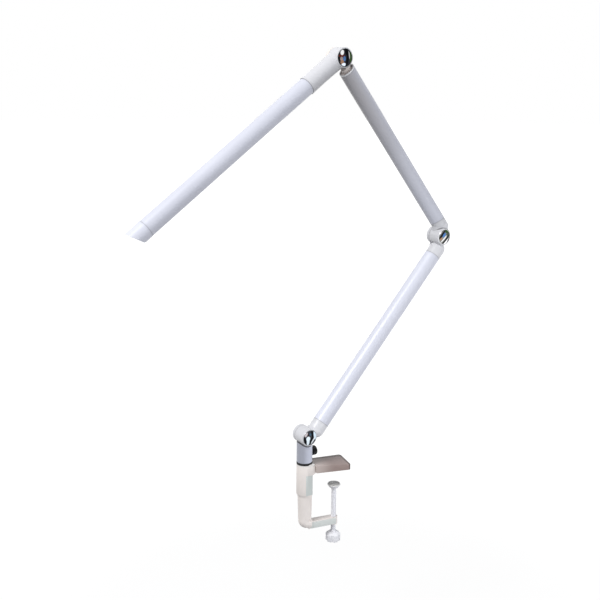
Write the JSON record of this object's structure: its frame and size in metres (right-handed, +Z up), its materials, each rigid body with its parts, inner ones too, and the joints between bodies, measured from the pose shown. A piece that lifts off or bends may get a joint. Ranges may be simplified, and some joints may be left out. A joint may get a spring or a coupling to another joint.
{
  "type": "desk lamp",
  "caption": "Folding clamp lamp: a swivelling post with a zigzag of round arms and a tubular light head, joined by friction hinges with bright round caps.",
  "frame": {"origin": "middle of the underside of the upper jaw's pad, where the lamp rests on the desk", "axes": "+Z up, +X from the post over the desk along the jaws, +Y to the left of the jaws seen from the post"},
  "size_m": [0.5552, 0.1415, 0.7804],
  "materials": {
    "clamp_paint": "satin off-white paint over a cast frame",
    "clamp_shell": "satin off-white moulding",
    "jaw_shell": "satin taupe moulding",
    "screw_paint": "white paint",
    "post_paint": "satin white paint over machined aluminium",
    "fitting_paint": "satin white paint over cast aluminium",
    "tube_finish": "satin white paint over drawn aluminium tube",
    "white_plastic": "semi-gloss white moulding",
    "black_plastic": "black moulding",
    "bright_cap": "polished chrome plate",
    "steel": "zinc-plated steel",
    "brass": "turned brass",
    "nylon": "natural nylon",
    "rubber": "matt black rubber",
    "pale_rubber": "matt off-white rubber",
    "lead": "black insulated lead",
    "circuit_board": "green circuit board",
    "led_board": "white coated metal-core board",
    "led": "yellow phosphor",
    "diffuser": "opal, translucent"
  },
  "bodies": {
    "clamp": {"clamp_frame": "clamp_paint", "clamp_sleeve": "clamp_shell", "sleeve_screw": "steel", "jaw_cover": "jaw_shell", "jaw_screws": "steel", "jaw_pad": "rubber", "post_pin": "steel", "base_ring": "black_plastic"},
    "pressure_pad": {"screw_pad": "white_plastic", "screw_pad_rubber": "pale_rubber"},
    "clamp_screw": {"clamp_screw": "screw_paint", "clamp_knob": "white_plastic"},
    "post": {"post": "post_paint", "thumb_insert": "brass", "power_inlet": "black_plastic", "base_washer": "nylon", "base_spring": "steel", "base_bolt": "steel", "base_nut": "steel", "base_plug": "white_plastic"},
    "thumb_tip": {"thumb_tip": "nylon"},
    "thumb_screw": {"thumb_screw": "steel", "thumb_knob": "black_plastic"},
    "lower_arm": {"lower_knuckle": "fitting_paint", "base_cap": "bright_cap", "lower_tube": "tube_finish", "lower_fork": "fitting_paint", "lower_lead": "lead", "elbow_washer": "nylon", "elbow_spring": "steel", "elbow_bolt": "steel", "elbow_nut": "steel", "elbow_plug": "white_plastic"},
    "upper_arm": {"upper_knuckle": "fitting_paint", "elbow_cap": "bright_cap", "upper_tube": "tube_finish", "head_fork": "fitting_paint", "upper_lead": "lead", "head_washer": "nylon", "head_spring": "steel", "head_bolt": "steel", "head_nut": "steel", "head_plug": "white_plastic"},
    "head": {"head_sleeve": "white_plastic", "head_cap": "bright_cap", "driver_board": "circuit_board", "head_tube": "tube_finish", "led_board": "led_board", "leds": "led", "diffuser": "diffuser", "end_cap": "white_plastic"}
  },
  "joints": [
    {"name": "post_swivel", "type": "hinge", "parent": "clamp", "child": "post", "pos_m": [-0.042, 0, 0.0165], "axis": [0, 0, 1], "range_deg": [-170, 170]},
    {"name": "base_tilt", "type": "hinge", "parent": "post", "child": "lower_arm", "pos_m": [-0.042, 0, 0.063], "axis": [0.2079, -0.9781, 0], "range_deg": [-24, 130]},
    {"name": "elbow_fold", "type": "hinge", "parent": "lower_arm", "child": "upper_arm", "pos_m": [0.2149, 0.05461, 0.35468], "axis": [-0.2079, 0.9781, 0], "range_deg": [-60, 80]},
    {"name": "head_tilt", "type": "hinge", "parent": "upper_arm", "child": "head", "pos_m": [0.01112, 0.01129, 0.63683], "axis": [0.2079, -0.9781, 0], "range_deg": [-86, 28]},
    {"name": "clamp_travel", "type": "slide", "parent": "clamp", "child": "pressure_pad", "axis": [0, 0, 1], "range_m": [-0.045, 0.0125]},
    {"name": "clamp_turn", "type": "hinge", "parent": "pressure_pad", "child": "clamp_screw", "pos_m": [0.01, 0, -0.06], "axis": [0, 0, 1], "range_deg": [-12980, 3620]},
    {"name": "thumb_travel", "type": "slide", "parent": "post", "child": "thumb_tip", "axis": [0.9781, 0.2079, 0], "range_m": [0, 0.0016]},
    {"name": "thumb_turn", "type": "hinge", "parent": "thumb_tip", "child": "thumb_screw", "pos_m": [-0.03026, 0.00249, 0.033], "axis": [0.9781, 0.2079, 0], "range_deg": [-10, 730]}
  ],
  "couplings": [
    {"joint": "clamp_turn", "follows": "clamp_travel", "rad_per_m": 5026.5},
    {"joint": "thumb_turn", "follows": "thumb_travel", "rad_per_m": 7854}
  ]
}
